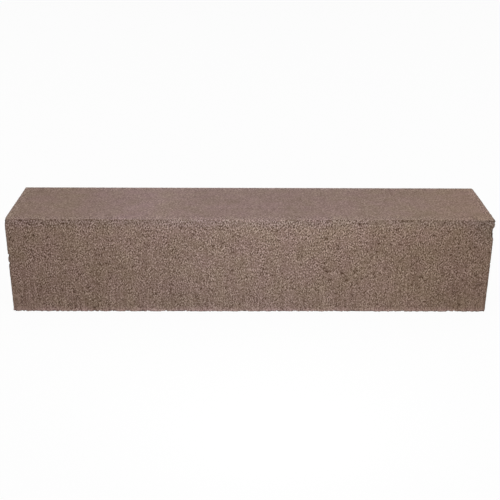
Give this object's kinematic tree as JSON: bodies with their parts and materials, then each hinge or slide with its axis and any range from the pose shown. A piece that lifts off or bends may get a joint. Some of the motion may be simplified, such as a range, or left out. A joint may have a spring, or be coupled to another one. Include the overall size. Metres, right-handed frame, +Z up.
{
  "type": "concrete wall block",
  "caption": "Solid rectangular concrete block with a smooth pressed top and open-textured sides, laid in courses to build a low garden or retaining wall.",
  "frame": {"origin": "centre of the bottom bed, on the surface the block stands on", "axes": "+X along the block's length, +Y from the front face to the back face, +Z up, out of the top bed"},
  "size_m": [0.6, 0.12, 0.125],
  "materials": {
    "concrete": "matt, dry-cast, open-textured"
  },
  "bodies": {
    "root": {"wall_block": "concrete"}
  },
  "joints": []
}
